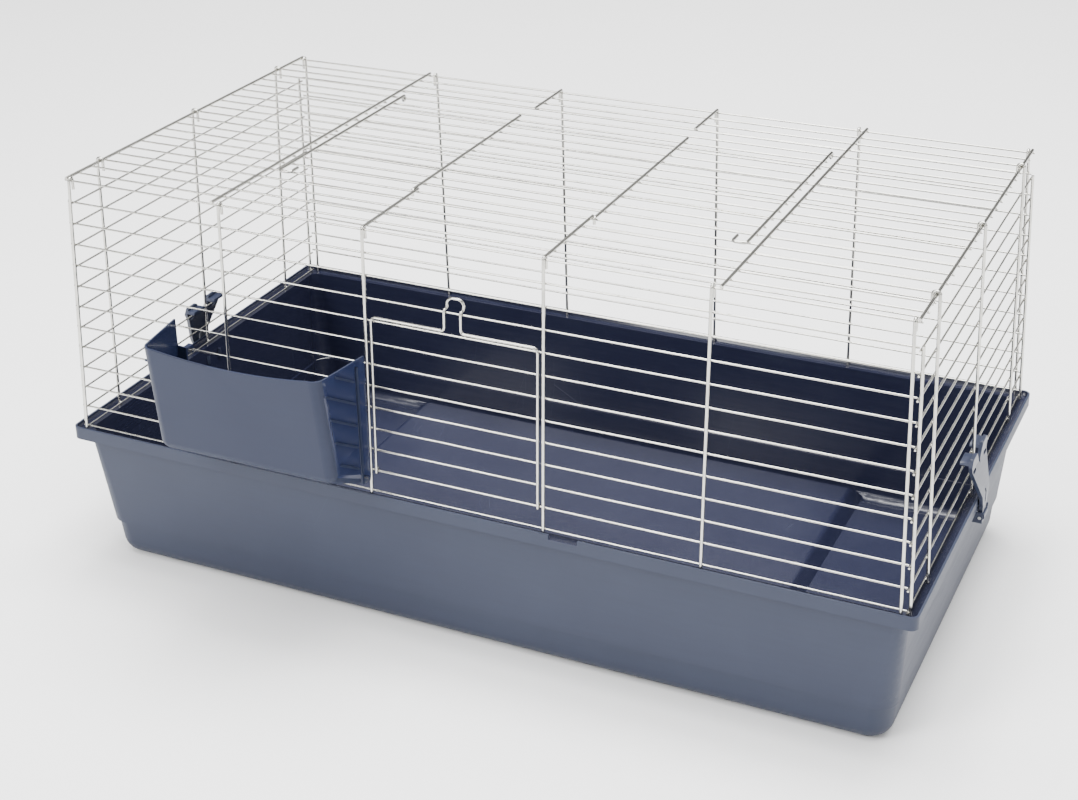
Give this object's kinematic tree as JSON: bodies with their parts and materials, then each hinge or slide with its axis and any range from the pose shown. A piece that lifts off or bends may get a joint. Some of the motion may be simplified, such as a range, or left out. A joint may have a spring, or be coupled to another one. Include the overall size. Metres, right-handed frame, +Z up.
{
  "type": "wire rabbit cage",
  "caption": "Indoor wire cage on a deep moulded tray, with a drop-down front door, a lift-up roof hatch, a hang-on feeder and swing clips that hold the wire top down.",
  "frame": {"origin": "on the floor, under the middle of the whole object's length and depth, feeder included", "axes": "+X along the cage's length towards the right end, -Y towards the front where the door and feeder are, +Z up"},
  "size_m": [1.024, 0.6066, 0.4904],
  "materials": {
    "tray_plastic": "satin moulded",
    "feeder_plastic": "satin moulded",
    "clip_plastic": "satin moulded",
    "zinc_wire": "bright zinc plate",
    "pin_steel": "drawn"
  },
  "bodies": {
    "cage": {"base_tray": "tray_plastic", "front_left_uprights": "zinc_wire", "front_right_uprights": "zinc_wire", "front_left_bars": "zinc_wire", "front_right_bars": "zinc_wire", "front_lintel_bars": "zinc_wire", "front_sill_bars": "zinc_wire", "back_uprights": "zinc_wire", "back_bars": "zinc_wire", "left_uprights": "zinc_wire", "left_bars": "zinc_wire", "right_uprights": "zinc_wire", "right_bars": "zinc_wire", "roof_front_bars": "zinc_wire", "roof_rear_bars": "zinc_wire", "roof_left_bars": "zinc_wire", "roof_right_bars": "zinc_wire", "roof_left_cross_wires": "zinc_wire", "roof_right_cross_wires": "zinc_wire", "roof_front_cross_wires": "zinc_wire", "roof_rear_cross_wires": "zinc_wire", "left_clip_pin": "pin_steel", "right_clip_pin": "pin_steel"},
    "front_door": {"door_frame": "zinc_wire", "door_bars": "zinc_wire"},
    "roof_hatch": {"hatch_frame": "zinc_wire", "hatch_bars": "zinc_wire"},
    "feeder": {"feeder": "feeder_plastic"},
    "left_clip": {"left_clip": "clip_plastic"},
    "right_clip": {"right_clip": "clip_plastic"}
  },
  "joints": [
    {"name": "front_door_hinge", "type": "hinge", "parent": "cage", "child": "front_door", "pos_m": [0, -0.22002, 0.2052], "axis": [1, 0, 0], "range_deg": [0, 150]},
    {"name": "roof_hatch_hinge", "type": "hinge", "parent": "cage", "child": "roof_hatch", "pos_m": [0, 0.19051, 0.4824], "axis": [-1, 0, 0], "range_deg": [0, 165]},
    {"name": "right_clip_hinge", "type": "hinge", "parent": "cage", "child": "right_clip", "pos_m": [0.5075, 0.0373, 0.155], "axis": [0, 1, 0], "range_deg": [0, 100]},
    {"name": "left_clip_hinge", "type": "hinge", "parent": "cage", "child": "left_clip", "pos_m": [-0.5075, 0.0373, 0.155], "axis": [0, -1, 0], "range_deg": [0, 100]},
    {"name": "feeder_lift", "type": "slide", "parent": "cage", "child": "feeder", "axis": [0, 0, 1], "range_m": [0, 0.012]}
  ]
}
